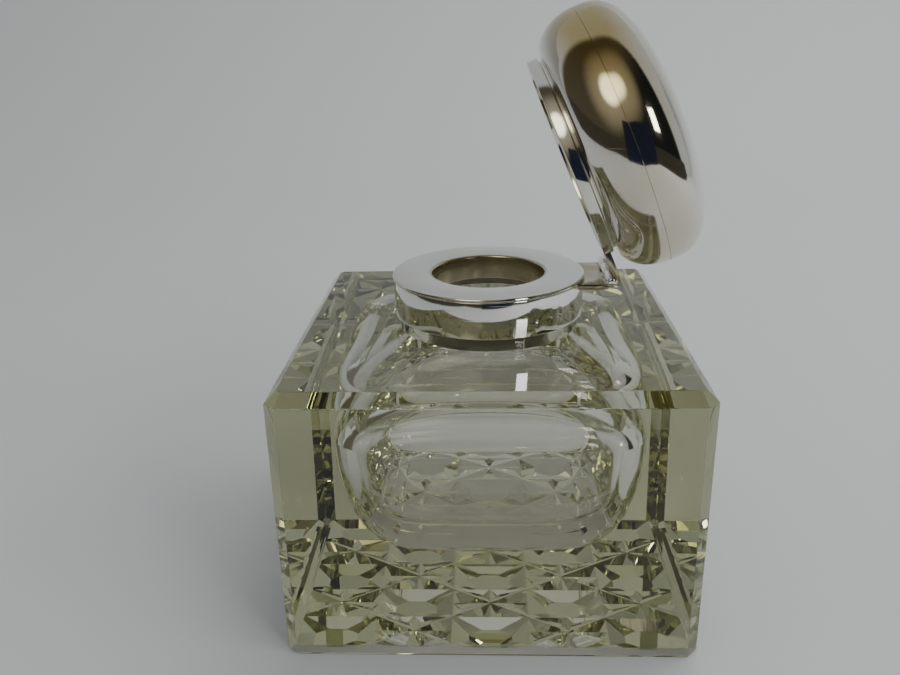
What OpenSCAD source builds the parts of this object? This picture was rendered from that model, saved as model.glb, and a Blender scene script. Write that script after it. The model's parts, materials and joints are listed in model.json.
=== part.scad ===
// Square cut-glass inkwell with a silver collar and a hinged, cushion-shaped silver lid.
// Millimetres, +Z up. The origin is on the surface it stands on, under the middle of the glass block.
// The lid is drawn shut, over the collar, and then swung back about the hinge by lid_open_angle.

/* [Glass block] */
// Width and depth of the square block
block_w = 90; // [86:1:96]
// Height of the block, from the cut base to the polished top
block_h = 62; // [60:1:66]
// Bevel along the four top edges
top_bevel = 2.6; // [1.5:0.1:3]
// Bevel down the four upright corners
corner_bevel = 2.5; // [1.5:0.1:3]

/* [Cut base] */
// Distance between the main grooves, which part the base into five by five cells
cell_pitch = 17.4; // [16.8:0.1:17.6]
// Width across the flat of each raised hob
hob_flat = 9.6; // [9:0.1:10.4]
// Depth of the main grooves
groove_depth = 1.7; // [1.5:0.1:2.6]
// Depth of the diagonal grooves
diagonal_depth = 1.9; // [1.7:0.1:3]
// Depth of the short grooves that finish each star
star_depth = 1.8; // [1.6:0.1:3]
// Half width of the short star grooves
star_half_w = 3.2; // [2.4:0.1:4]

/* [Ink cavity] */
// Half width of the cavity at its widest
cavity_half_w = 34.2; // [31:0.1:35]
// Half width of the flat floor of the cavity
floor_half_w = 21; // [15:0.5:24]
// Height of the cavity floor above the table
floor_z = 18; // [14:0.5:22]
// Height at which the cavity is widest
widest_z = 46; // [42:0.5:50]
// Radius of the cavity's upright corners
cavity_corner_r = 15; // [10:0.5:20]
// Outer radius of the glass neck
neck_r = 21.2; // [20.6:0.1:21.3]
// Radius of the hole through the neck
neck_bore_r = 15.2; // [14.6:0.1:16]

/* [Collar] */
// Outer radius of the collar band
band_r = 22.3; // [22.2:0.1:22.5]
// Outer radius of the collar's top plate
plate_r = 22.6; // [22.5:0.1:22.8]
// Height of the band's lower edge above the table
collar_foot_z = 65; // [63:0.5:66]
// Height of the collar's flat top above the table
collar_top_z = 74.3; // [74:0.1:75]
// Radius of the mouth that a pen dips through
mouth_r = 13.2; // [12:0.1:13.6]
// Length of the tube that lines the mouth
sleeve_l = 6; // [4:0.5:8]

/* [Hinge] */
// Distance of the hinge axis from the middle of the block
hinge_x = 27.9; // [27.4:0.1:28.6]
// Outer radius of the hinge barrel
knuckle_r = 1.15; // [1.1:0.05:1.3]
// Radius of the hinge pin
pin_r = 0.6; // [0.5:0.05:0.65]
// Length of the whole barrel
barrel_l = 18.6; // [16:0.2:20]
// Length of the lid's knuckle, in the middle of the barrel
lid_knuckle_l = 6.2; // [5:0.1:8]
// Thickness of the lug on the collar
lug_t = 1.2; // [1:0.1:1.3]

/* [Lid] */
// Angle that the lid stands open, measured from shut
lid_open_angle = 67; // [0:1:67]
// Outer radius of the bezel, the band that sits on the collar
bezel_r = 23.1; // [22.9:0.1:23.4]
// Radius of the cushion at its girdle
girdle_r = 29.7; // [28:0.1:31]
// Height of the girdle above the hinge axis, lid shut
girdle_h = 13.5; // [12:0.5:15]
// Height of the cushion's top above the hinge axis, lid shut
crown_h = 26.8; // [24:0.2:28]
// Thickness of the sheet silver
sheet_t = 0.7; // [0.6:0.05:0.8]

/* [Hidden] */

$fn = 96;
past = 1;                   // how far a cutting shape runs past what it cuts
curve_steps = 12;           // straight steps in a quarter of a curved outline

silver = "gainsboro";
old_silver = "darkgray";
crystal = [0.80, 0.84, 0.76, 0.45];

cells = 5;
half_cell = cell_pitch / 2;
groove_half_w = half_cell - hob_flat / 2;
diagonal_half_w = half_cell * sqrt(2) - hob_flat / 2;   // leaves a regular octagon on each hob
rim_w = 0.7;                // plain rim round the cut base
rim_slope_w = 1.4;          // width of the slope inside the rim
square_top_z = block_h - 3;     // the cavity is square in plan up to here
round_foot_z = block_h - 5;     // and round from here up, into the neck
cavity_top_z = block_h + 1.5;   // where the round shoulder meets the bore of the neck
neck_top_z = collar_top_z - 1.6;
plate_t = 0.9;
plate_edge_r = plate_t / 2;
band_t = 0.7;
cement_gap = 0.4;           // the cement stops this far above the band's lower edge

hinge_z = collar_top_z - 0.5;
rim_h = 0.65;               // height of the lid's rim above the hinge axis, lid shut
bezel_h = 2.4;
step_h = 3.7;               // top of the waist between the bezel and the cushion
waist_r = bezel_r - 0.9;
bezel_t = 1.4;
seat_r = bezel_r - bezel_t - 1.0;
under_plate_t = 0.8;
under_plate_h = rim_h + 0.6;
pin_fit = 0.06;             // radial play of the lid's knuckle on the pin
pin_seat_fit = 0.02;        // radial play of the collar's knuckles on the pin
end_play = 0.1;             // gap between one knuckle and the next
swing_gap = 0.25;           // gap between the barrel and what passes round it
leaf_t = 0.8;
leaf_in_r = knuckle_r + swing_gap;
leaf_out_r = leaf_in_r + leaf_t;
leaf_tail_angle = 66;       // where the leaf's tail ends, from +X about the hinge axis, lid shut
tail_half_l = lid_knuckle_l / 2 - end_play;
stop_play = 4;              // degrees between the tail and the stop, lid open
stop_end_angle = leaf_tail_angle - 67 - stop_play;
pin_head_r = 0.95;
pin_head_t = 0.35;

// Swings a child, drawn shut with the hinge axis at the origin, to where the lid stands.
module on_lid() {
    translate([hinge_x, 0, hinge_z]) rotate([0, lid_open_angle, 0]) children();
}

// Moves a child, drawn with the hinge axis at the origin, to the hinge on the collar.
module on_hinge() {
    translate([hinge_x, 0, hinge_z]) children();
}

// A solid turned round the lid's own axis, which is hinge_x away from the hinge.
module lid_turned(outline) {
    on_lid() translate([-hinge_x, 0, 0]) rotate_extrude() polygon(outline);
}

// A rod along Y, centred on y_mid.
module rod_y(r, l, y_mid = 0) {
    translate([0, y_mid, 0]) rotate([90, 0, 0]) cylinder(r = r, h = l, center = true);
}

// A wedge of a plan, seen from the front, between two angles from +X, out to radius r.
module wedge_y(r, from, to, l) {
    corners = concat([[0, 0]], [for (i = [0 : 4]) let (a = from + (to - from) * i / 4)
        [r * cos(a), r * sin(a)]]);
    rotate([90, 0, 0]) linear_extrude(height = l, center = true) polygon(corners);
}

// ---- glass ----

// The block with its top and corner bevels.
module bevelled_block() {
    intersection() {
        upright_octagon(block_w, corner_bevel, block_h);
        for_x_and_y() linear_extrude(height = block_w + 2 * past, center = true) polygon([
            [-block_w / 2, -past], [block_w / 2, -past], [block_w / 2, block_h - top_bevel],
            [block_w / 2 - top_bevel, block_h], [top_bevel - block_w / 2, block_h],
            [-block_w / 2, block_h - top_bevel]]);
    }
}

// A square prism with its upright corners taken off.
module upright_octagon(w, cut, h) {
    a = w / 2;
    linear_extrude(height = h) polygon([[-a, cut - a], [cut - a, -a], [a - cut, -a], [a, cut - a],
                                        [a, a - cut], [a - cut, a], [cut - a, a], [-a, a - cut]]);
}

// Where two copies of an upright extrusion, one seen from the front and one from the side, meet.
module for_x_and_y() {
    intersection() {
        rotate([90, 0, 0]) children();
        rotate([90, 0, 90]) children();
    }
}

// A long V-shaped cut in the underside, along Y.
module v_groove(depth, half_w, l) {
    below = past / depth;
    rotate([90, 0, 0]) linear_extrude(height = l, center = true)
        polygon([[0, depth], [-half_w * (1 + below), -past], [half_w * (1 + below), -past]]);
}

// Raised octagonal hobs and eight-pointed stars, turn about, as on a chequerboard.
module hobs_and_stars() {
    long = block_w * 1.6;
    last = (cells - 1) / 2;
    for (turn = [0, 90]) rotate([0, 0, turn]) {
        for (i = [-cells / 2 : cells / 2])
            translate([i * cell_pitch, 0, 0]) v_groove(groove_depth, groove_half_w, long);
        for (i = [-3 : 2 : 3])
            rotate([0, 0, 45]) translate([i * half_cell * sqrt(2), 0, 0])
                v_groove(diagonal_depth, diagonal_half_w, long);
        for (i = [-last : last])
            for (j = [-last : last])
                if ((i + j + 2 * last) % 2 == 1)
                    translate([i * cell_pitch, j * cell_pitch, 0])
                        v_groove(star_depth, star_half_w, cell_pitch);
    }
}

// The cutting stops short of the sides and leaves a narrow plain rim at table height.
module base_cuts() {
    in = block_w / 2 - rim_w;
    up = in - rim_slope_w;
    slope = rim_slope_w / groove_depth;
    intersection() {
        hobs_and_stars();
        for_x_and_y() linear_extrude(height = block_w, center = true) polygon([
            [-in - slope * past, -past], [in + slope * past, -past],
            [up - slope, groove_depth + 1], [slope - up, groove_depth + 1]]);
    }
}

// Half width of the cavity, and the height, along its curved side: floor, belly, shoulder.
function belly(a) = [floor_half_w + (cavity_half_w - floor_half_w) * sin(a),
                     widest_z - (widest_z - floor_z) * cos(a)];
function shoulder(z) = [cavity_half_w - (cavity_half_w - neck_bore_r)
                        * pow((z - widest_z) / (cavity_top_z - widest_z), 2), z];
function quarter(n) = [for (i = [0 : n]) 90 * i / n];
function heights(from, to) = [for (i = [0 : curve_steps]) from + (to - from) * i / curve_steps];
function cavity_side() = concat([for (a = quarter(curve_steps)) belly(a)],
                                [for (z = heights(widest_z, square_top_z)) if (z > widest_z) shoulder(z)]);
function mirrored(points) = [for (i = [len(points) - 1 : -1 : 0]) [-points[i][0], points[i][1]]];

// The hollow for the ink: square in plan with round corners, and drawn in to the floor.
module square_cavity() {
    flat = cavity_half_w - cavity_corner_r;
    intersection() {
        for_x_and_y() linear_extrude(height = block_w, center = true)
            polygon(concat(cavity_side(), mirrored(cavity_side())));
        linear_extrude(height = block_h) union() {
            square([2 * flat, 2 * cavity_half_w], center = true);
            square([2 * cavity_half_w, 2 * flat], center = true);
            for (x = [-flat, flat]) for (y = [-flat, flat]) translate([x, y]) circle(r = cavity_corner_r);
        }
    }
}

// The round shoulder that leads up into the bore of the neck.
module round_shoulder() {
    rotate_extrude() polygon(concat([[0, round_foot_z]],
                                    [for (z = heights(round_foot_z, cavity_top_z)) shoulder(z)],
                                    [[0, cavity_top_z]]));
}

module glass_block() {
    color(crystal) difference() {
        union() {
            bevelled_block();
            translate([0, 0, block_h - past]) cylinder(r = neck_r, h = neck_top_z - block_h + past);
        }
        base_cuts();
        square_cavity();
        round_shoulder();
        translate([0, 0, cavity_top_z - past]) cylinder(r = neck_bore_r, h = block_h);
    }
}

// ---- collar ----

// Plaster that beds the collar on the neck: a sleeve round it and a ring on top of it.
module neck_cement() {
    foot_z = collar_foot_z + cement_gap;
    color("linen") difference() {
        translate([0, 0, foot_z]) cylinder(r = band_r - band_t, h = collar_top_z - plate_t - foot_z);
        translate([0, 0, foot_z - past]) cylinder(r = neck_r, h = neck_top_z - foot_z + past);
        translate([0, 0, foot_z]) cylinder(r = neck_bore_r, h = block_h);
    }
}

module collar_band() {
    h = collar_top_z - plate_t - collar_foot_z;
    color(silver) translate([0, 0, collar_foot_z]) difference() {
        cylinder(r = band_r, h = h);
        translate([0, 0, -past]) cylinder(r = band_r - band_t, h = h + 2 * past);
    }
}

// Flat ring with a rounded outer edge, soldered on the band.
module collar_top_plate() {
    color(silver) translate([0, 0, collar_top_z - plate_t]) rotate_extrude() union() {
        translate([mouth_r + band_t, 0]) square([plate_r - plate_edge_r - mouth_r - band_t, plate_t]);
        translate([plate_r - plate_edge_r, plate_edge_r]) circle(r = plate_edge_r, $fn = 32);
    }
}

// Short tube soldered in the plate, which keeps the pen off the glass.
module mouth_sleeve() {
    color(old_silver) translate([0, 0, collar_top_z - sleeve_l]) difference() {
        cylinder(r = mouth_r + band_t, h = sleeve_l);
        translate([0, 0, -past]) cylinder(r = mouth_r, h = sleeve_l + 2 * past);
    }
}

// ---- hinge ----

// Flat lug from the band to the barrel, let in under the top plate's edge.
module hinge_lug() {
    top_z = collar_top_z - plate_t - 0.05;
    color(old_silver) difference() {
        translate([0, -barrel_l / 2, top_z - lug_t]) cube([hinge_x - 0.5, barrel_l, lug_t]);
        translate([0, 0, top_z - lug_t - past]) cylinder(r = band_r, h = lug_t + 2 * past);
        on_hinge() rod_y(knuckle_r, barrel_l + 2 * past);
        on_hinge() rod_y(leaf_in_r, lid_knuckle_l + 2 * end_play);
    }
}

// A piece of tube on the hinge axis.
module knuckle(l, bore_r, y_mid = 0) {
    difference() {
        rod_y(knuckle_r, l, y_mid);
        rod_y(bore_r, l + 2 * past, y_mid);
    }
}

module collar_knuckles() {
    l = (barrel_l - lid_knuckle_l) / 2 - end_play;
    color(silver) on_hinge() for (side = [-1, 1])
        knuckle(l, pin_r + pin_seat_fit, side * (barrel_l - l) / 2);
}

// Strap under the middle knuckle. The leaf's tail comes down on its end and holds the lid open.
module hinge_stop() {
    lug_foot_h = collar_top_z - plate_t - 0.05 - lug_t - hinge_z;
    color(old_silver) on_hinge() union() {
        intersection() {
            difference() {
                rod_y(leaf_out_r, 2 * tail_half_l);
                rod_y(leaf_in_r, barrel_l);
            }
            wedge_y(2 * leaf_out_r, -90, stop_end_angle, barrel_l);
        }
        translate([-leaf_out_r, -tail_half_l, -leaf_out_r])
            cube([leaf_out_r, 2 * tail_half_l, lug_foot_h + leaf_out_r]);
    }
}

module hinge_pin() {
    color(silver) on_hinge() union() {
        rod_y(pin_r, barrel_l);
        for (side = [-1, 1]) rod_y(pin_head_r, pin_head_t, side * (barrel_l + pin_head_t) / 2);
    }
}

module lid_knuckle() {
    color(silver) on_lid() knuckle(lid_knuckle_l, pin_r + pin_fit);
}

// Plate from the bezel's waist over the barrel, with a short tail that curls down to the stop.
module lid_hinge_leaf() {
    color(old_silver) on_lid() difference() {
        union() {
            translate([bezel_r - hinge_x - 2, -barrel_l / 2, rim_h + 0.2])
                cube([hinge_x - bezel_r + 2, barrel_l, leaf_out_r - rim_h - 0.2]);
            intersection() {
                rod_y(leaf_out_r, barrel_l);
                wedge_y(2 * leaf_out_r, leaf_tail_angle, 95, barrel_l);
            }
        }
        rod_y(knuckle_r, barrel_l + 2 * past);
        for (side = [-1, 1])
            rod_y(leaf_in_r, barrel_l, side * (barrel_l + lid_knuckle_l) / 2);
        translate([-hinge_x, 0, 0]) cylinder(r = bezel_r, h = crown_h);
    }
}

// ---- lid ----

// Band that sits on the collar, with a narrower waist above it and a ledge inside.
module lid_bezel() {
    ledge_h = under_plate_h + under_plate_t;
    color(silver) lid_turned([[bezel_r - bezel_t, rim_h], [bezel_r, rim_h], [bezel_r, rim_h + bezel_h],
                              [waist_r, rim_h + bezel_h], [waist_r, step_h], [seat_r, step_h],
                              [seat_r, ledge_h], [bezel_r - bezel_t, ledge_h]]);
}

// Disc that closes the hollow lid from below.
module lid_under_plate() {
    r = bezel_r - bezel_t;
    color(old_silver) lid_turned([[0, under_plate_h], [r, under_plate_h],
                                  [r, under_plate_h + under_plate_t], [0, under_plate_h + under_plate_t]]);
}

// Outline of the cushion, dt inside its outer face: below the girdle, and above it.
function under_curve(a, dt) = [waist_r + (girdle_r - dt - waist_r) * cos(a),
                               girdle_h - (girdle_h - step_h - dt) * sin(a)];
function dome_curve(a, dt) = [(girdle_r - dt) * pow(cos(a), 2 / 2.4),
                              girdle_h + (crown_h - dt - girdle_h) * pow(sin(a), 2 / 3.06)];
function reversed(points) = [for (i = [len(points) - 1 : -1 : 0]) points[i]];

module lid_under_shell() {
    outer = [for (a = quarter(curve_steps)) under_curve(a, 0)];
    inner = [for (a = quarter(curve_steps)) under_curve(a, sheet_t)];
    color(silver) lid_turned(concat(outer, [[seat_r, step_h], [seat_r, step_h + sheet_t]], reversed(inner)));
}

module lid_dome_shell() {
    outer = [for (a = quarter(curve_steps + 6)) if (a < 90) dome_curve(a, 0)];
    inner = [for (a = quarter(curve_steps + 6)) if (a < 90) dome_curve(a, sheet_t)];
    color(silver) lid_turned(concat(outer, [[0, crown_h], [0, crown_h - sheet_t]], reversed(inner)));
}

glass_block();
neck_cement();
collar_band();
collar_top_plate();
mouth_sleeve();
hinge_lug();
collar_knuckles();
hinge_stop();
hinge_pin();
lid_knuckle();
lid_hinge_leaf();
lid_bezel();
lid_under_plate();
lid_under_shell();
lid_dome_shell();
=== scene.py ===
# %% [markdown]
# # A cut-glass inkwell with a silver collar and a hinged silver lid
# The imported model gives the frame: where each body is, how big it is and how the lid turns.
# Everything seen is modelled again here, finer, and each new piece rides on the body it belongs to.
# Sizes are in metres. A number written as 2.6 * MM is 2.6 millimetres.

# %% Load the frame
import json
import math
from collections import Counter

import bpy
from mathutils import Matrix, Vector


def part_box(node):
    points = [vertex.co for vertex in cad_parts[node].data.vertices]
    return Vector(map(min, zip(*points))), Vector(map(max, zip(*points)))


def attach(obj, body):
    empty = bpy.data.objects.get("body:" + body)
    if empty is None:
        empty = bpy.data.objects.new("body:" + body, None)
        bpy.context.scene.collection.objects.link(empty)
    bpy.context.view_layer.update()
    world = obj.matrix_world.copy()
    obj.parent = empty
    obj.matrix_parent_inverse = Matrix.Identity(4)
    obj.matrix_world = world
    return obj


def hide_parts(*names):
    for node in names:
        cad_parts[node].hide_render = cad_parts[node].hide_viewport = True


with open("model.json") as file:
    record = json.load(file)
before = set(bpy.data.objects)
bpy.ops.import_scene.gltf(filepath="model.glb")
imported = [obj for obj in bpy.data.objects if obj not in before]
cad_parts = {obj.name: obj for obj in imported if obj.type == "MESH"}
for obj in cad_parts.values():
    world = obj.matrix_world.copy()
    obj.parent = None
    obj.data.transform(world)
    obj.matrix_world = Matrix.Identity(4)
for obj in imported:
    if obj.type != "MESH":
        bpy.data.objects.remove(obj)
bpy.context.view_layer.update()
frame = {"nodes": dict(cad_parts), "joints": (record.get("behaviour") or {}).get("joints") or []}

MM = 0.001
print("nodes:", sorted(frame["nodes"]))

# %% [markdown]
# ## Sizes that the pieces share
# The frame says how large each node is, so most sizes are read from it. What a box can't say, such as how
# high the block's flat top is, is a named value. SKIN is the hair's breadth that keeps two faces apart where
# pieces would otherwise share one.

# %% Read the shared sizes
hinge_joint = frame["joints"][0]
hinge = Vector(hinge_joint["pos_m"])
open_angle = math.radians(hinge_joint["range_deg"][1])

half_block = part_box("glass_block")[1].x
neck_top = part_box("glass_block")[1].z
collar_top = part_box("collar_top_plate")[1].z
plate_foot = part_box("collar_top_plate")[0].z
plate_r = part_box("collar_top_plate")[1].x
band_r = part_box("collar_band")[1].x
band_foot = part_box("collar_band")[0].z
sleeve_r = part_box("mouth_sleeve")[1].x
sleeve_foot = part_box("mouth_sleeve")[0].z
cement_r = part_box("neck_cement")[1].x
cement_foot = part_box("neck_cement")[0].z
lug_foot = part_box("hinge_lug")[0].z
lug_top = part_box("hinge_lug")[1].z
half_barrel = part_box("collar_knuckles")[1].y
knuckle_r = (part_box("collar_knuckles")[1].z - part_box("collar_knuckles")[0].z) / 2
half_lid_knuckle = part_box("lid_knuckle")[1].y
bezel_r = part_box("lid_bezel")[1].y
under_plate_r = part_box("lid_under_plate")[1].y
girdle_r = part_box("lid_dome_shell")[1].y

block_h = 62 * MM
neck_r = 21.2 * MM
neck_bore_r = 15.2 * MM
sheet = 0.7 * MM
pin_r = 0.6 * MM
SKIN = 0.03 * MM
print(f"block {2000 * half_block:.1f} mm wide, mouth sleeve {2000 * sleeve_r:.1f} mm across, "
      f"lid open {math.degrees(open_angle):.0f} degrees about x = {1000 * hinge.x:.1f} mm")

# %% [markdown]
# ## Helpers for modelling
# An operator works on all that is selected, so every piece starts with nothing selected. A turned part is a
# closed outline, given as points of radius and height, spun round the upright axis, as a spinner turns silver
# over a chuck. Corners are rounded first, because a polished edge is never quite sharp.

# %% Helpers
def nothing_selected():
    if bpy.context.object and bpy.context.object.mode != "OBJECT":
        bpy.ops.object.mode_set(mode="OBJECT")
    bpy.ops.object.select_all(action="DESELECT")


def only(obj):
    nothing_selected()
    obj.select_set(True)
    bpy.context.view_layer.objects.active = obj


def named(name):
    piece = bpy.context.object
    piece.name = name
    piece.data.name = name
    return piece


def rounded(corners, steps=4):
    """An outline whose corners (x, y, radius) are replaced by arcs. The corners go round the shape."""
    points = []
    for i, (x, y, r) in enumerate(corners):
        here = Vector((x, y))
        before = (Vector(corners[i - 1][:2]) - here).normalized()
        after = (Vector(corners[(i + 1) % len(corners)][:2]) - here).normalized()
        if r == 0:
            points.append(here)
            continue
        half = before.angle(after) / 2
        centre = here + (before + after).normalized() * (r / math.sin(half))
        start = here + before * (r / math.tan(half)) - centre
        end = here + after * (r / math.tan(half)) - centre
        turn = start.angle_signed(end)
        for k in range(steps + 1):
            points.append(centre + Matrix.Rotation(-turn * k / steps, 2) @ start)
    return points


def outline_piece(name, points, plane="XZ"):
    """A closed wire with one corner at each point, lying in the XZ or the YZ plane."""
    nothing_selected()
    bpy.ops.mesh.primitive_circle_add(vertices=len(points), radius=MM, fill_type="NOTHING")
    piece = named(name)
    for vertex, (a, b) in zip(piece.data.vertices, points):
        vertex.co = (a, 0, b) if plane == "XZ" else (0, a, b)
    return piece


def tidy_mesh(piece, merge=0.002 * MM):
    only(piece)
    bpy.ops.object.mode_set(mode="EDIT")
    bpy.ops.mesh.select_all(action="SELECT")
    bpy.ops.mesh.remove_doubles(threshold=merge)
    bpy.ops.mesh.dissolve_degenerate(threshold=merge)
    bpy.ops.mesh.delete_loose(use_verts=True, use_edges=True, use_faces=False)
    bpy.ops.mesh.select_all(action="SELECT")
    bpy.ops.mesh.normals_make_consistent(inside=False)
    bpy.ops.object.mode_set(mode="OBJECT")
    return piece


def turned(name, points, steps=160):
    """The outline spun once round the Z axis."""
    piece = outline_piece(name, points)
    only(piece)
    bpy.ops.object.mode_set(mode="EDIT")
    bpy.ops.mesh.select_all(action="SELECT")
    bpy.ops.mesh.spin(steps=steps, angle=2 * math.pi, center=(0, 0, 0), axis=(0, 0, 1))
    bpy.ops.object.mode_set(mode="OBJECT")
    return tidy_mesh(piece)


def soft_shaded(piece, degrees=30):
    only(piece)
    bpy.ops.object.shade_smooth_by_angle(angle=math.radians(degrees))
    return piece


def apply_modifier(piece, kind, **settings):
    only(piece)
    modifier = piece.modifiers.new(kind, kind)
    for key, value in settings.items():
        setattr(modifier, key, value)
    bpy.ops.object.modifier_apply(modifier=modifier.name)
    return piece


def cut(piece, tool, operation="DIFFERENCE"):
    """Cuts piece with tool, or joins or intersects them, and throws the tool away."""
    apply_modifier(piece, "BOOLEAN", object=tool, operation=operation, solver="MANIFOLD")
    bpy.data.objects.remove(tool)
    return piece


def extruded(name, points, length, plane="XZ"):
    """The outline filled and drawn out to both sides of its plane, length in all."""
    piece = outline_piece(name, points, plane)
    only(piece)
    away = Vector((0, length, 0)) if plane == "XZ" else Vector((length, 0, 0))
    bpy.ops.object.mode_set(mode="EDIT")
    bpy.ops.mesh.select_all(action="SELECT")
    bpy.ops.mesh.edge_face_add()
    bpy.ops.transform.translate(value=-away / 2)
    bpy.ops.mesh.extrude_region_move(TRANSFORM_OT_translate={"value": away})
    bpy.ops.object.mode_set(mode="OBJECT")
    return tidy_mesh(piece)


def joined(name, pieces):
    nothing_selected()
    for piece in pieces:
        piece.select_set(True)
    bpy.context.view_layer.objects.active = pieces[0]
    bpy.ops.object.join()
    return named(name)


def box_piece(name, low, high):
    nothing_selected()
    low, high = Vector(low), Vector(high)
    bpy.ops.mesh.primitive_cube_add(size=1, location=(low + high) / 2)
    piece = named(name)
    piece.scale = high - low
    bpy.ops.object.transform_apply(location=True, rotation=True, scale=True)
    return piece


def swung_open(piece):
    """Turns a lid piece, modelled shut, about the hinge to where the lid stands."""
    turn = Matrix.Translation(hinge) @ Matrix.Rotation(open_angle, 4, "Y") @ Matrix.Translation(-hinge)
    piece.data.transform(turn)
    return piece


def faces_of(piece):
    """The size of the mesh, and how many of its edges don't have a face on each side."""
    mesh = piece.data
    uses = Counter(key for face in mesh.polygons for key in face.edge_keys)
    loose = sum(uses[edge.key] != 2 for edge in mesh.edges)
    return f"{piece.name}: {len(mesh.polygons)} faces, {loose} open edges"


# %% [markdown]
# ## The glass block
# The real block is a thick pressing of lead crystal, ground flat and polished, with its edges bevelled on a
# wheel. A cube is the natural start: its edges are bevelled in edit mode, first the four upright ones, then
# the four round the top. A last very small bevel gives every arris the thin bright line of polished glass.

# %% Block with bevelled edges
TOP_BEVEL = 2.6 * MM
CORNER_BEVEL = 2.5 * MM
ARRIS = 0.12 * MM


def bevel_edges(piece, wanted, width):
    only(piece)
    bpy.ops.object.mode_set(mode="EDIT")
    bpy.ops.mesh.select_mode(type="EDGE")
    bpy.ops.mesh.select_all(action="DESELECT")
    bpy.ops.object.mode_set(mode="OBJECT")
    mesh = piece.data
    for edge in mesh.edges:
        edge.select = wanted(*(mesh.vertices[v].co for v in edge.vertices))
    bpy.ops.object.mode_set(mode="EDIT")
    bpy.ops.mesh.bevel(offset=width * math.sqrt(2), offset_type="WIDTH", segments=1, affect="EDGES")
    bpy.ops.object.mode_set(mode="OBJECT")


block = box_piece("glass_block_cut", (-half_block, -half_block, 0), (half_block, half_block, block_h))
bevel_edges(block, lambda a, b: abs(a.z - b.z) > block_h / 2, CORNER_BEVEL)
bevel_edges(block, lambda a, b: min(a.z, b.z) > block_h - 1e-6, TOP_BEVEL)
apply_modifier(block, "BEVEL", width=ARRIS, segments=2, limit_method="ANGLE", angle_limit=math.radians(30))
print(faces_of(block))

# %% [markdown]
# ## The cut base
# The underside is cut all over on a mitred wheel. Straight grooves part it into five by five cells. In every
# second cell a raised hob is left, flat on top and eight-sided, and in the others the long diagonal grooves
# cross two short ones and make an eight-pointed star. Each groove is a V-shaped bar, and a Boolean takes it
# away, just as the wheel does. Bars that don't touch are cut together.

# %% Grooves of the cut base
CELL = 17.4 * MM
CELLS = 5
HOB_FLAT = 9.6 * MM
GROOVE_DEPTH = 1.7 * MM
DIAGONAL_DEPTH = 1.9 * MM
STAR_DEPTH = 1.8 * MM
STAR_HALF_W = 3.2 * MM
RIM = 0.7 * MM
RIM_SLOPE = 1.4 * MM
PAST = 1 * MM

groove_half_w = (CELL - HOB_FLAT) / 2
diagonal_half_w = CELL / math.sqrt(2) - HOB_FLAT / 2
outer_cell = (CELLS - 1) / 2


def v_bar(depth, half_w, length, x, y, turn):
    """A V-shaped bar along Y, moved to x, y and then turned about the middle of the base."""
    spread = half_w * (1 + PAST / depth)
    bar = extruded("bar", [(0, depth), (-spread, -PAST), (spread, -PAST)], length)
    bar.data.transform(Matrix.Rotation(turn, 4, "Z") @ Matrix.Translation((x, y, 0)))
    return bar


def cutting_field():
    """The sunk part of the base, whose four sides slope up to a narrow plain rim."""
    inner = half_block - RIM
    lean = RIM_SLOPE / GROOVE_DEPTH
    low, high = inner + lean * PAST, inner - lean * (GROOVE_DEPTH + PAST)
    sides = [(-low, -PAST), (low, -PAST), (high, GROOVE_DEPTH + PAST), (-high, GROOVE_DEPTH + PAST)]
    field = extruded("field", sides, 2 * half_block)
    return cut(field, extruded("field_across", sides, 2 * half_block, "YZ"), "INTERSECT")


def cut_grooves(name, bars):
    cut(block, cut(joined(name, bars), cutting_field(), "INTERSECT"))


star_cells = [(i - outer_cell, j - outer_cell) for i in range(CELLS) for j in range(CELLS) if (i + j) % 2]
for turn in (0, math.pi / 2):
    lines = [(i - CELLS / 2) * CELL for i in range(CELLS + 1)]
    cut_grooves("main_grooves", [v_bar(GROOVE_DEPTH, groove_half_w, 3 * half_block, x, 0, turn)
                                 for x in lines])
    diagonals = [i * CELL / math.sqrt(2) for i in (-3, -1, 1, 3)]
    cut_grooves("diagonals", [v_bar(DIAGONAL_DEPTH, diagonal_half_w, 3 * half_block, x, 0, turn + math.pi / 4)
                              for x in diagonals])
    cut_grooves("star_grooves", [v_bar(STAR_DEPTH, STAR_HALF_W, CELL, i * CELL, j * CELL, turn)
                                 for i, j in star_cells])
print(faces_of(block))

# %% [markdown]
# ## The neck and the ink cavity
# The cavity is square in plan with round corners. Its sides draw in to the floor below and curve in to the
# round neck above. It is turned like a vase first, then squared up: the farther a ring is from the neck, the
# more its points are pushed out along the diagonals. A Boolean takes it out of the block.

# %% Neck and cavity
CAVITY_HALF_W = 34.2 * MM
CAVITY_FLOOR_HALF_W = 21 * MM
CAVITY_FLOOR_Z = 18 * MM
WIDEST_Z = 46 * MM
SHOULDER_Z = block_h + 1.5 * MM
QUARTER_STEPS = 20


def cavity_outline():
    belly = [(CAVITY_FLOOR_HALF_W + (CAVITY_HALF_W - CAVITY_FLOOR_HALF_W) * math.sin(a),
              WIDEST_Z - (WIDEST_Z - CAVITY_FLOOR_Z) * math.cos(a)) for a in quarter_turn(QUARTER_STEPS)]
    rise = [i / QUARTER_STEPS for i in range(QUARTER_STEPS + 1)]
    shoulder = [(CAVITY_HALF_W - (CAVITY_HALF_W - neck_bore_r) * t ** 2,
                 WIDEST_Z + (SHOULDER_Z - WIDEST_Z) * t) for t in rise]
    floor = [(CAVITY_FLOOR_HALF_W * i / 6, CAVITY_FLOOR_Z) for i in range(6)]
    return floor + belly + shoulder[1:] + [(neck_bore_r, neck_top + PAST), (0, neck_top + PAST)]


def quarter_turn(steps):
    return [math.pi / 2 * i / steps for i in range(steps + 1)]


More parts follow.
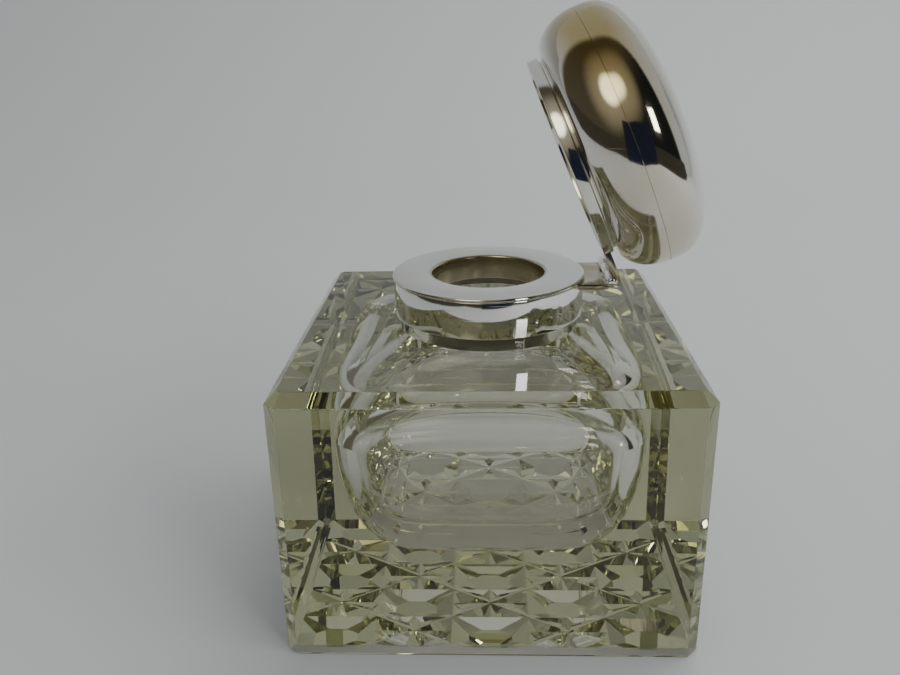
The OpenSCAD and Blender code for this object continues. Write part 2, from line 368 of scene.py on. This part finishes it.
def squareness(z):
    """How square a ring is: 2 is a circle, and 6 is nearly a square."""
    up = max(0.0, min(1.0, (z - WIDEST_Z) / (SHOULDER_Z - WIDEST_Z)))
    return 5.5 - 3.5 * up


def square_up(piece):
    for vertex in piece.data.vertices:
        x, y, z = vertex.co
        r = math.hypot(x, y)
        if r < 1e-7 or z > SHOULDER_Z:
            continue
        p = squareness(z)
        reach = (abs(x / r) ** p + abs(y / r) ** p) ** (-1 / p)
        vertex.co = (x * reach, y * reach, z)


neck = turned("neck", rounded([(0, block_h - PAST, 0), (neck_r, block_h - PAST, 0),
                               (neck_r, neck_top, 0.4 * MM), (0, neck_top, 0)]), 128)
cut(block, neck, "UNION")
cavity = turned("cavity", cavity_outline(), 128)
square_up(cavity)
cut(block, cavity)
soft_shaded(block, 12)
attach(block, "base")
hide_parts("glass_block")
print(faces_of(block))

# %% [markdown]
# ## The collar
# A band of sheet silver stands round the neck, and a flat ring with a rounded edge is soldered on it. A short
# tube with a rolled lip lines the mouth. All three are turned from outlines. The plaster that beds them on
# the glass shows only through the neck, from which it stands off by a hair, so that light reaches it. Four
# small blank marks are sunk in the band, where a maker would strike them.

# %% Collar pieces
def ring_outline(inner, outer, foot, top, inner_r, outer_r):
    return rounded([(inner, foot, inner_r), (outer, foot, outer_r),
                    (outer, top, outer_r), (inner, top, inner_r)])


band = soft_shaded(turned("collar_band_turned", ring_outline(
    band_r - sheet, band_r, band_foot, plate_foot, 0.1 * MM, 0.18 * MM)))
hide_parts("collar_band")

plate_round = (collar_top - plate_foot) * 0.49
plate = soft_shaded(turned("collar_top_plate_turned", rounded([
    (sleeve_r, plate_foot, 0.05 * MM), (plate_r, plate_foot, plate_round), (plate_r, collar_top, plate_round),
    (sleeve_r, collar_top, 0.05 * MM)], 6)))
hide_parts("collar_top_plate")

MARK_DEPTH = 0.4 * MM
MARK_TALL = 2 * MM
MARK_CORNER_R = 0.35 * MM
MARK_HEIGHT = band_foot + 3.9 * MM


def punched(piece, radius, turn, height, width, tall):
    """Sinks a small blank mark, a rectangle with round corners, into an upright wall of that radius."""
    w, h, r = width / 2, tall / 2, MARK_CORNER_R
    mark = extruded("mark", rounded([(-w, -h, r), (w, -h, r), (w, h, r), (-w, h, r)]), 2 * MM)
    mark.data.transform(Matrix.Rotation(turn, 4, "Z")
                        @ Matrix.Translation((0, MARK_DEPTH - radius - MM, height)))
    return cut(piece, mark)


for degrees, width in ((27, 1.9), (37, 1.7), (45, 1.3), (57, 1.8)):
    punched(band, band_r, math.radians(degrees), MARK_HEIGHT, width * MM, MARK_TALL)
soft_shaded(band)

sleeve_in = sleeve_r - sheet
sleeve = soft_shaded(turned("mouth_sleeve_turned", rounded([
    (sleeve_in, sleeve_foot, 0.2 * MM), (sleeve_r, sleeve_foot, 0.2 * MM), (sleeve_r, collar_top, 0),
    (sleeve_in, collar_top, 0.6 * MM)], 6)))
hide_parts("mouth_sleeve")

cement = soft_shaded(turned("neck_plaster", rounded([
    (neck_bore_r, neck_top + SKIN, 0), (neck_r + SKIN, neck_top + SKIN, 0), (neck_r + SKIN, cement_foot, 0),
    (cement_r, cement_foot, 0.1 * MM), (cement_r, plate_foot, 0), (neck_bore_r, plate_foot, 0.1 * MM)])))
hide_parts("neck_cement")
for piece in (band, plate, sleeve, cement):
    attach(piece, "base")
    print(faces_of(piece))

# %% [markdown]
# ## The hinge
# The lug is a flat tab let in under the top plate, with its far end hollowed to take the barrel. The barrel
# is three pieces of tube on one pin whose ends are hammered over. The lid's leaf runs over the barrel, and
# its tail comes down on the stop.

# %% Lug, knuckles, pin and stop
SWING_GAP = 0.25 * MM
END_PLAY = 0.1 * MM
CAVE = knuckle_r + SWING_GAP
LEAF_OUT = CAVE + 0.8 * MM


def rod(name, radius, y_from, y_to, vertices=48):
    nothing_selected()
    bpy.ops.mesh.primitive_cylinder_add(vertices=vertices, radius=radius, depth=y_to - y_from,
                                        rotation=(math.pi / 2, 0, 0),
                                        location=(hinge.x, (y_from + y_to) / 2, hinge.z))
    bpy.ops.object.transform_apply(location=True, rotation=True, scale=True)
    return named(name)


def softened(piece, width, segments=2, degrees=30):
    apply_modifier(piece, "BEVEL", width=width, segments=segments, limit_method="ANGLE",
                   angle_limit=math.radians(degrees))
    return soft_shaded(piece, 40)


lug = box_piece("hinge_lug_fitted", (band_r - 3 * MM, -half_barrel, lug_foot),
                (hinge.x - 0.5 * MM, half_barrel, lug_top))
cut(lug, turned("band_core", [(0, lug_foot - PAST), (band_r, lug_foot - PAST),
                              (band_r, lug_top + PAST), (0, lug_top + PAST)], 192))
cut(lug, rod("barrel_core", knuckle_r, -2 * half_barrel, 2 * half_barrel))
cut(lug, rod("knuckle_room", CAVE, -half_lid_knuckle - END_PLAY, half_lid_knuckle + END_PLAY))
softened(lug, 0.12 * MM)
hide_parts("hinge_lug")


def knuckle(name, bore, y_from, y_to):
    tube = rod(name, knuckle_r, y_from, y_to)
    cut(tube, rod("bore", bore, y_from - PAST, y_to + PAST))
    return softened(tube, 0.1 * MM)


collar_knuckles = joined("collar_knuckles_tube", [
    knuckle("knuckle_front", pin_r, -half_barrel, -half_lid_knuckle - END_PLAY),
    knuckle("knuckle_back", pin_r, half_lid_knuckle + END_PLAY, half_barrel)])
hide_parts("collar_knuckles")
lid_knuckle = swung_open(knuckle("lid_knuckle_tube", pin_r, -half_lid_knuckle, half_lid_knuckle))
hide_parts("lid_knuckle")


def hammered_pin():
    """A pin along Y, turned from an outline with a domed head at each end."""
    half = half_barrel
    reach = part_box("hinge_pin")[1].y
    head = 0.95 * MM
    pin = turned("hinge_pin_hammered", rounded([
        (0, -reach, 0), (head, -reach, 0.25 * MM), (head, -half, 0.05 * MM), (pin_r, -half, 0),
        (pin_r, half, 0), (head, half, 0.05 * MM), (head, reach, 0.25 * MM), (0, reach, 0)]), 48)
    pin.data.transform(Matrix.Translation(hinge) @ Matrix.Rotation(math.pi / 2, 4, "X"))
    return soft_shaded(pin)


pin = hammered_pin()
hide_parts("hinge_pin")


def arc(radius, start, end, steps=12):
    """Points on an arc about the hinge, seen from the front, between two angles in degrees."""
    turns = [math.radians(start + (end - start) * i / steps) for i in range(steps + 1)]
    return [(hinge.x + radius * math.cos(a), hinge.z + radius * math.sin(a)) for a in turns]


STOP_END = -5
stop_half = half_lid_knuckle - END_PLAY
stop = extruded("hinge_stop_strap", [(hinge.x - LEAF_OUT, hinge.z - LEAF_OUT)]
                + arc(LEAF_OUT, -90, STOP_END) + arc(CAVE, STOP_END, -90)
                + [(hinge.x, lug_foot), (hinge.x - LEAF_OUT, lug_foot)], 2 * stop_half)
softened(stop, 0.1 * MM)
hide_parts("hinge_stop")
for piece in (lug, collar_knuckles, pin, stop):
    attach(piece, "base")
    print(faces_of(piece))

# %% [markdown]
# ## The hinge leaf
# The leaf is bent from strip: flat against the lid's waist, then over the barrel and down. It is drawn in
# section as it lies with the lid shut, drawn out to the barrel's length, notched round the fixed knuckles,
# and hollowed where the round bezel sits in it.

# %% Leaf
RIM_H = 0.65 * MM
TAIL_ANGLE = 66

leaf = extruded("lid_hinge_leaf_bent", [(bezel_r - 2 * MM, hinge.z + RIM_H + 0.2 * MM)]
                + [(hinge.x - 0.3 * MM, hinge.z + RIM_H + 0.2 * MM), (hinge.x, hinge.z)]
                + arc(LEAF_OUT, TAIL_ANGLE, 90)
                + [(bezel_r - 2 * MM, hinge.z + LEAF_OUT)], 2 * half_barrel)
cut(leaf, turned("bezel_core", [(0, hinge.z), (bezel_r, hinge.z), (bezel_r, hinge.z + 10 * MM),
                                (0, hinge.z + 10 * MM)], 192))
cut(leaf, rod("barrel_core", knuckle_r, -2 * half_barrel, 2 * half_barrel))
cut(leaf, rod("room_front", CAVE, -2 * half_barrel, -half_lid_knuckle))
cut(leaf, rod("room_back", CAVE, half_lid_knuckle, 2 * half_barrel))
softened(leaf, 0.12 * MM)
swung_open(leaf)
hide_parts("lid_hinge_leaf")
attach(leaf, "lid")
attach(lid_knuckle, "lid")
print(faces_of(leaf))

# %% [markdown]
# ## The lid
# The lid is a hollow cushion in thin sheet: two stampings soldered at the girdle, standing on a narrow bezel
# that a disc closes from below. Each is turned shut, in outline, and then swung open with the hinge.

# %% Lid shells
BEZEL_H = 2.4 * MM
STEP_H = 3.7 * MM
WAIST_R = bezel_r - 0.9 * MM
GIRDLE_H = 13.5 * MM
CROWN_H = 26.8 * MM
CURVE_STEPS = 60
SEAM = 0.08 * MM

seat_r = under_plate_r - 1 * MM
under_plate_h = RIM_H + 0.6 * MM
under_plate_t = 0.8 * MM


def raised(points):
    """Heights above the hinge axis made heights in the frame."""
    return [(p[0], p[1] + hinge.z, *p[2:]) for p in points]


def under_curve(inset):
    return [(WAIST_R + (girdle_r - inset - WAIST_R) * math.cos(a),
             GIRDLE_H - (GIRDLE_H - STEP_H - inset) * math.sin(a)) for a in quarter_turn(CURVE_STEPS)]


def dome_curve(inset):
    return [((girdle_r - inset) * max(0.0, math.cos(a)) ** (2 / 2.4),
             GIRDLE_H + (CROWN_H - inset - GIRDLE_H) * math.sin(a) ** (2 / 3.06))
            for a in quarter_turn(CURVE_STEPS)[:-1]] + [(0, CROWN_H - inset)]


def seam_edge(curve):
    """Chamfers the start of an outer curve very slightly, which leaves a fine line where two shells meet."""
    (r, h), rest = curve[0], curve[1:]
    side = math.copysign(SEAM, rest[0][1] - h)
    return [(r - SEAM, h), (r, h + side), (r, h + 1.5 * side)] + rest


bezel = turned("lid_bezel_turned", rounded(raised([
    (bezel_r - 1.4 * MM, RIM_H, 0.12 * MM), (bezel_r, RIM_H, 0.15 * MM),
    (bezel_r, RIM_H + BEZEL_H, 0.15 * MM), (WAIST_R, RIM_H + BEZEL_H, 0.3 * MM),
    (WAIST_R, STEP_H, 0), (seat_r, STEP_H, 0.1 * MM),
    (seat_r, under_plate_h + under_plate_t, 0.1 * MM),
    (bezel_r - 1.4 * MM, under_plate_h + under_plate_t, 0)])))
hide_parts("lid_bezel")

under_plate = turned("lid_under_plate_turned", rounded(raised([
    (0, under_plate_h + 0.1 * MM, 0), (under_plate_r * 0.8, under_plate_h + 0.1 * MM, 0.5 * MM),
    (under_plate_r * 0.82, under_plate_h, 0.5 * MM), (under_plate_r, under_plate_h, 0.1 * MM),
    (under_plate_r, under_plate_h + under_plate_t, 0.1 * MM), (0, under_plate_h + under_plate_t, 0)])))
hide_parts("lid_under_plate")

under_shell = turned("lid_under_shell_turned", raised(
    seam_edge(under_curve(SKIN)) + [(seat_r, STEP_H), (seat_r, STEP_H + sheet)] + under_curve(sheet)[::-1]))
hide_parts("lid_under_shell")

dome = turned("lid_dome_shell_turned", raised(seam_edge(dome_curve(SKIN)) + dome_curve(sheet)[::-1]))
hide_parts("lid_dome_shell")

for piece in (bezel, under_plate, under_shell, dome):
    swung_open(soft_shaded(piece, 35))
    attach(piece, "lid")
    print(faces_of(piece))

# %% [markdown]
# ## Helpers for materials
# A material here is a small graph of nodes. These helpers make one with its Principled shader ready, and add
# nodes whose inputs are fed, each by a plain value or by another node's output. Patterns follow the Object
# coordinates, which stay put when the lid moves.

# %% Material helpers
def new_material(name):
    material = bpy.data.materials.new(name)
    material.use_nodes = True
    tree = material.node_tree
    return material, tree, tree.nodes["Principled BSDF"]


def give(pieces, material):
    for piece in pieces:
        piece.data.materials.clear()
        piece.data.materials.append(material)


def feed(tree, socket, value):
    """Links an input to another node's output, or sets it to a plain value."""
    if isinstance(value, bpy.types.NodeSocket):
        tree.links.new(value, socket)
    else:
        socket.default_value = value


def node(tree, kind, inputs=None, **settings):
    """A new node with its settings, and with its inputs fed by their names or numbers."""
    made = tree.nodes.new(kind)
    for key, value in settings.items():
        setattr(made, key, value)
    for key, value in (inputs or {}).items():
        feed(tree, made.inputs[key], value)
    return made


def maths(tree, operation, *values, clamp=False):
    return node(tree, "ShaderNodeMath", dict(enumerate(values)),
                operation=operation, use_clamp=clamp).outputs["Value"]


def along(tree, place, direction):
    """How far a place is in a direction."""
    return node(tree, "ShaderNodeVectorMath", {0: place, 1: direction},
                operation="DOT_PRODUCT").outputs["Value"]


def faded(tree, value, start, end, to=(0, 1), kind="SMOOTHSTEP"):
    """Goes from the first number of to, where the value is start, to the second, where it is end."""
    return node(tree, "ShaderNodeMapRange",
                {"Value": value, "From Min": start, "From Max": end, "To Min": to[0], "To Max": to[1]},
                interpolation_type=kind).outputs["Result"]


def mixed(tree, factor, a, b):
    """The colour a where the factor is 0, and b where it is 1."""
    return node(tree, "ShaderNodeMix", {"Factor": factor, "A": a, "B": b}, data_type="RGBA").outputs["Result"]


def noise(tree, place, scale, detail=2):
    made = node(tree, "ShaderNodeTexNoise", {"Vector": place, "Scale": scale, "Detail": detail})
    return made.outputs["Fac"]


def bumped(tree, shader, height, strength, distance):
    bump = node(tree, "ShaderNodeBump", {"Height": height, "Strength": strength, "Distance": distance})
    tree.links.new(bump.outputs["Normal"], shader.inputs["Normal"])


def object_place(tree):
    return node(tree, "ShaderNodeTexCoord").outputs["Object"]


# %% [markdown]
# ## Wear that every silver piece shares
# Old silver is bright where it is rubbed and golden brown where it is not, and polishing leaves fine
# scratches in every direction. This is one node group, with its own amounts in each material.

# %% Silver wear group
TONING_SCALE = 55
SMEAR_SCALE = 160
SCRATCH_SCALE = 60
SCRATCH_TURNS_AND_STRETCHES = (((0.3, 0.9, 0.2), (1, 30, 1)),
                               ((1.1, 0.2, 0.7), (40, 1, 1)),
                               ((0.5, 0.4, 1.3), (1, 1, 34)))


def scratch_lines(tree, place, turn, stretch):
    """Fine lines in one direction: noise squeezed across them until only its crests are left."""
    squeezed = node(tree, "ShaderNodeMapping", {"Vector": place, "Rotation": turn,
                                                "Scale": [SCRATCH_SCALE * s for s in stretch]})
    return faded(tree, noise(tree, squeezed.outputs["Vector"], 1), 0.66, 0.74, kind="LINEAR")


def silver_wear_group():
    group = bpy.data.node_groups.new("silver_wear", "ShaderNodeTree")
    sockets = group.interface
    for name in ("Bright", "Toned"):
        sockets.new_socket(name, in_out="INPUT", socket_type="NodeSocketColor")
    for name in ("Toning", "Extra Toning", "Scratches", "Roughness"):
        sockets.new_socket(name, in_out="INPUT", socket_type="NodeSocketFloat")
    sockets.new_socket("Color", in_out="OUTPUT", socket_type="NodeSocketColor")
    for name in ("Roughness", "Height"):
        sockets.new_socket(name, in_out="OUTPUT", socket_type="NodeSocketFloat")
    given = node(group, "NodeGroupInput").outputs
    place = object_place(group)

    patches = faded(group, noise(group, place, TONING_SCALE, 4), 0.42, 0.72, kind="LINEAR")
    toning = maths(group, "MULTIPLY_ADD", patches, given["Toning"], given["Extra Toning"], clamp=True)
    colour = mixed(group, toning, given["Bright"], given["Toned"])
    smears = noise(group, place, SMEAR_SCALE, 6)
    roughness = maths(group, "MULTIPLY_ADD", smears, given["Roughness"], given["Roughness"])
    crests = 0
    for turn, stretch in SCRATCH_TURNS_AND_STRETCHES:
        crests = maths(group, "ADD", scratch_lines(group, place, turn, stretch), crests)
    height = maths(group, "MULTIPLY", crests, given["Scratches"])
    node(group, "NodeGroupOutput", {"Color": colour, "Roughness": roughness, "Height": height})
    return group


silver_wear = silver_wear_group()
print("silver wear:", len(silver_wear.nodes), "nodes")

# %% [markdown]
# ## Silver finishes
# The collar is the brightest and the hinge and the inside of the mouth are the dullest, since no cloth gets
# there. The lid is between them, and has toning of its own along the girdle and at its far end.

# %% Silver finishes
def silver_material(name, bright, toned, toning, scratches, roughness):
    """Silver with the shared wear. The tree and the wear node are returned for more toning."""
    material, tree, shader = new_material(name)
    wear = node(tree, "ShaderNodeGroup", {"Bright": bright, "Toned": toned, "Toning": toning,
                                          "Scratches": scratches, "Roughness": roughness},
                node_tree=silver_wear)
    tree.links.new(wear.outputs["Color"], shader.inputs["Base Color"])
    tree.links.new(wear.outputs["Roughness"], shader.inputs["Roughness"])
    bumped(tree, shader, wear.outputs["Height"], 0.12, 0.05 * MM)
    shader.inputs["Metallic"].default_value = 1
    return material, tree, wear


def tone_lid(tree, wear):
    """Toning that is deepest along the girdle and at the lid's far end, where fingers rub it least."""
    place = object_place(tree)
    lid_axis = Vector((math.sin(open_angle), 0, math.cos(open_angle)))
    girdle = hinge.dot(lid_axis) + GIRDLE_H
    off_girdle = maths(tree, "ABSOLUTE", maths(tree, "SUBTRACT", along(tree, place, lid_axis), girdle))
    by_girdle = faded(tree, off_girdle, 12 * MM, 2 * MM)
    by_end = faded(tree, along(tree, place, (0, 0, 1)), hinge.z + 34 * MM, hinge.z + 56 * MM, (0.35, 1))
    feed(tree, wear.inputs["Extra Toning"], maths(tree, "MULTIPLY", by_girdle, by_end))


polished, _, _ = silver_material(
    "polished_silver", bright=(0.86, 0.86, 0.84, 1), toned=(0.66, 0.56, 0.36, 1),
    toning=0.35, scratches=0.6, roughness=0.035)
lid_silver, lid_tree, lid_wear = silver_material(
    "lid_silver", bright=(0.80, 0.79, 0.76, 1), toned=(0.54, 0.43, 0.22, 1),
    toning=0.25, scratches=0.6, roughness=0.05)
dull_silver, _, _ = silver_material(
    "toned_silver", bright=(0.56, 0.51, 0.38, 1), toned=(0.26, 0.20, 0.10, 1),
    toning=0.8, scratches=1.0, roughness=0.14)
tone_lid(lid_tree, lid_wear)
give([band, plate, collar_knuckles, pin, lid_knuckle], polished)
give([bezel, under_shell, dome], lid_silver)
give([sleeve, lug, stop, leaf, under_plate], dull_silver)
print("silver materials:", polished.name, lid_silver.name, dull_silver.name)

# %% [markdown]
# ## Crystal and plaster
# Lead crystal bends light strongly and is almost clear. Only through its full thickness does a faint
# olive-grey show, so the tint is in the volume and not on the surface. The plaster is seen only through it.

# %% Crystal and plaster
def crystal_material():
    material, tree, shader = new_material("lead_crystal")
    shader.inputs["Base Color"].default_value = (1, 1, 1, 1)
    shader.inputs["Roughness"].default_value = 0
    shader.inputs["IOR"].default_value = 1.53
    shader.inputs["Transmission Weight"].default_value = 1
    tint = node(tree, "ShaderNodeVolumeAbsorption", {"Color": (0.56, 0.57, 0.22, 1), "Density": 14})
    tree.links.new(tint.outputs["Volume"], tree.nodes["Material Output"].inputs["Volume"])
    return material


def plaster_material():
    """Dried plaster: dull and grainy, with brown where old ink has soaked in."""
    material, tree, shader = new_material("stained_plaster")
    place = object_place(tree)
    stained = mixed(tree, noise(tree, place, 120, 5), (0.72, 0.70, 0.62, 1), (0.42, 0.36, 0.26, 1))
    feed(tree, shader.inputs["Base Color"], stained)
    bumped(tree, shader, noise(tree, place, 2500), 0.4, 0.1 * MM)
    shader.inputs["Roughness"].default_value = 0.9
    return material


give([block], crystal_material())
give([cement], plaster_material())
print("block:", block.data.materials[0].name, "and cement:", cement.data.materials[0].name)

# %% [markdown]
# ## Studio
# A pale floor curves up into a pale backdrop, as a roll of paper does, so no horizon shows. Through the glass
# the paper is painted darker, as painted shade, except right under the block, where a painted pool of light
# glows on it, seen only through the glass, in place of the light that real glass lets down on to it.

# %% Paper roll
ROLL_HALF_W = 1.45
ROLL_FRONT = -1.2
ROLL_BACK = 0.45
BEND_R = 0.4
WALL_TOP = 0.7
FLOOR_DROP = 0.2 * MM
PAINTED_LIGHT_PATCH_OUTER = 0.085
PAINTED_LIGHT_PATCH_INNER = 0.035
PAINTED_LIGHT_PATCH_STRENGTH = 0.15


def paper_roll():
    bend = [(ROLL_BACK + BEND_R * math.sin(a), BEND_R - BEND_R * math.cos(a)) for a in quarter_turn(16)]
    points = [(ROLL_FRONT, 0)] + bend + [(ROLL_BACK + BEND_R, WALL_TOP)]
    nothing_selected()
    bpy.ops.mesh.primitive_grid_add(x_subdivisions=1, y_subdivisions=len(points) - 1, size=2)
    roll = named("paper_roll")
    rows = sorted({round(v.co.y, 5) for v in roll.data.vertices})
    for v in roll.data.vertices:
        y, z = points[rows.index(round(v.co.y, 5))]
        v.co = (v.co.x * ROLL_HALF_W, y, z - FLOOR_DROP)
    return soft_shaded(roll, 60)


def paper_material():
    material, tree, shader = new_material("pale_paper")
    through_glass = node(tree, "ShaderNodeLightPath").outputs["Is Transmission Ray"]
    # Painted shade: rays that come through the glass see the paper in a darker colour, so the floor seen
    # through the block looks shaded.
    colour = mixed(tree, through_glass, (0.57, 0.585, 0.585, 1), (0.40, 0.41, 0.41, 1))
    feed(tree, shader.inputs["Base Color"], colour)
    shader.inputs["Roughness"].default_value = 0.75
    distance = node(tree, "ShaderNodeVectorMath", {0: object_place(tree)}, operation="LENGTH")
    # Painted light: the paper right under the block glows, but only for rays that come through the glass.
    # This is a painted pool of light, not a lamp.
    patch = faded(tree, distance.outputs["Value"], PAINTED_LIGHT_PATCH_OUTER, PAINTED_LIGHT_PATCH_INNER, (0, PAINTED_LIGHT_PATCH_STRENGTH))
    shader.inputs["Emission Color"].default_value = (1, 0.99, 0.93, 1)
    feed(tree, shader.inputs["Emission Strength"], maths(tree, "MULTIPLY", patch, through_glass))
    return material


roll = paper_roll()
give([roll], paper_material())
print(faces_of(roll))

# %% [markdown]
# ## What the silver sees
# Polished silver only looks right with something dark to show. Two dark flags stand in front of it, the dim
# end of a table and someone in navy blue, and they are seen only in reflections.

# %% Dark flags, seen only in reflections
def flag(name, corners, height, colour):
    """An upright card that stands on the floor along a line of corners."""
    nothing_selected()
    bpy.ops.mesh.primitive_grid_add(x_subdivisions=len(corners) - 1, y_subdivisions=1, size=2)
    card = named(name)
    columns = sorted({round(v.co.x, 5) for v in card.data.vertices})
    for v in card.data.vertices:
        x, y = corners[columns.index(round(v.co.x, 5))]
        v.co = (x, y, height if v.co.y > 0 else 0)
    material, _, shader = new_material(name)
    shader.inputs["Base Color"].default_value = (0, 0, 0, 1)
    shader.inputs["Roughness"].default_value = 1
    shader.inputs["Emission Color"].default_value = colour
    shader.inputs["Emission Strength"].default_value = 1
    give([card], material)
    card.visible_camera = False
    card.visible_diffuse = False
    card.visible_shadow = False
    card.visible_transmission = False
    return card


TABLE_END = [(-0.95, 0.36), (-0.42, 0.05), (-0.34, -0.20), (-0.20, -0.42), (0.24, -0.42), (0.70, 0.02),
             (1.2, 0.15)]
SOMEONE = [(-0.05, -0.395), (0.20, -0.405)]
flags = (flag("table_end", TABLE_END, 0.12, (0.040, 0.036, 0.026, 1)),
         flag("someone_behind_camera", SOMEONE, 0.24, (0.007, 0.010, 0.026, 1)))
print("dark flags:", [card.name for card in flags])

# %% [markdown]
# ## Lamps and world
# Three large soft lamps light the paper, and a small one shows as a window in the silver and the glass. In
# reflections the world is a dim brown room with one warm bulb in it, darker to the right, and pale only
# towards the paper. Through the glass the room is paler and the paper's side is dimmer. To the camera and to
# dull surfaces the world is pale all round.

# %% Lamps
INKWELL = (0, 0, 0.06)


def lamp(name, where, aim, size, power):
    data = bpy.data.lights.new(name, "AREA")
    data.shape = "RECTANGLE"
    data.size, data.size_y = size
    data.energy = power
    made = bpy.data.objects.new(name, data)
    bpy.context.scene.collection.objects.link(made)
    made.location = where
    made.rotation_euler = (Vector(aim) - Vector(where)).to_track_quat("-Z", "Y").to_euler()
    return made


key = lamp("soft_key_right", (0.80, -0.40, 0.50), INKWELL, (0.45, 0.45), 2.4)
fill = lamp("soft_fill_right", (1.05, 0.25, 0.9), INKWELL, (0.9, 0.9), 4)
top = lamp("soft_top", (0.25, 0.60, 1.2), (0, 0.50, 0.2), (0.9, 0.8), 6)
for big_lamp in (key, fill, top):
    big_lamp.visible_glossy = False
    big_lamp.visible_transmission = False
lamp("window_strip", (0.53, -0.63, 0.47), INKWELL, (0.20, 0.26), 1.6)

# %% World
TOWARDS_PAPER = Vector((0.2, 0.97, 0.14)).normalized()
TOWARDS_DARK_SIDE = (1, -0.25, -0.35)
TOWARDS_BULB = Vector((-0.32, -0.657, 0.682)).normalized()
BULB_GLOWS = ((42, 8, (0.36, 0.33, 0.24, 1)), (17, 8, (2.8, 2.7, 2.1, 1)))


def room_world():
    """Each glow is the angle where it starts, the angle where it is full, and its colour."""
    world = bpy.data.worlds.new("room")
    world.use_nodes = True
    tree = world.node_tree
    rays = node(tree, "ShaderNodeLightPath").outputs
    in_silver = rays["Is Glossy Ray"]
    in_silver_or_glass = maths(tree, "MAXIMUM", in_silver, rays["Is Transmission Ray"])
    way = node(tree, "ShaderNodeTexCoord").outputs["Generated"]

    room = mixed(tree, in_silver, (0.40, 0.39, 0.32, 1), (0.075, 0.066, 0.044, 1))
    dark_side = faded(tree, along(tree, way, TOWARDS_DARK_SIDE), -0.35, 0.45)
    room = mixed(tree, maths(tree, "MULTIPLY", dark_side, in_silver), room, (0.012, 0.014, 0.014, 1))
    for outer, inner, colour in BULB_GLOWS:
        glow = faded(tree, along(tree, way, TOWARDS_BULB),
                     math.cos(math.radians(outer)), math.cos(math.radians(inner)))
        room = mixed(tree, glow, room, colour)

    paper_side = mixed(tree, in_silver, (0.25, 0.26, 0.255, 1), (0.44, 0.455, 0.45, 1))
    off_paper = faded(tree, along(tree, way, TOWARDS_PAPER), 0.30, 0.16)
    seen = mixed(tree, off_paper, paper_side, room)
    whole = mixed(tree, in_silver_or_glass, (0.375, 0.39, 0.396, 1), seen)
    tree.links.new(whole, tree.nodes["Background"].inputs["Color"])
    return world


bpy.context.scene.world = room_world()
print("world:", bpy.context.scene.world.name)

# %% [markdown]
# ## Light inside the cut glass
# Light turns back from facet to facet many times before it leaves cut crystal. Each turn counts as a glossy
# bounce, and with too few of them the deep facets go black.

# %% Bounces
light_paths = bpy.context.scene.cycles
light_paths.max_bounces = 24
light_paths.glossy_bounces = 16
light_paths.transmission_bounces = 20
print("glossy bounces", light_paths.glossy_bounces, "of", light_paths.max_bounces)

# %% [markdown]
# ## Camera
# It stands a little above the lid's girdle, close in, and looks down on the collar.

# %% Camera
CAMERA_AT = Vector((-0.0001, -0.1966, 0.1316))
YAW, PITCH, ROLL = -0.0472, 0.3609, -0.0233
LENS = 34.44


def place_camera():
    data = bpy.data.cameras.new("camera")
    data.sensor_width = 36
    data.lens = LENS
    data.clip_start = 0.01
    camera = bpy.data.objects.new("camera", data)
    bpy.context.scene.collection.objects.link(camera)
    ahead = Vector((math.sin(YAW) * math.cos(PITCH), math.cos(YAW) * math.cos(PITCH), -math.sin(PITCH)))
    right = Vector((math.cos(YAW), -math.sin(YAW), 0))
    up = right.cross(ahead)
    x_axis = right * math.cos(ROLL) + up * math.sin(ROLL)
    y_axis = up * math.cos(ROLL) - right * math.sin(ROLL)
    axes = Matrix((x_axis, y_axis, -ahead)).transposed().to_4x4()
    camera.matrix_world = Matrix.Translation(CAMERA_AT) @ axes
    bpy.context.scene.camera = camera


place_camera()
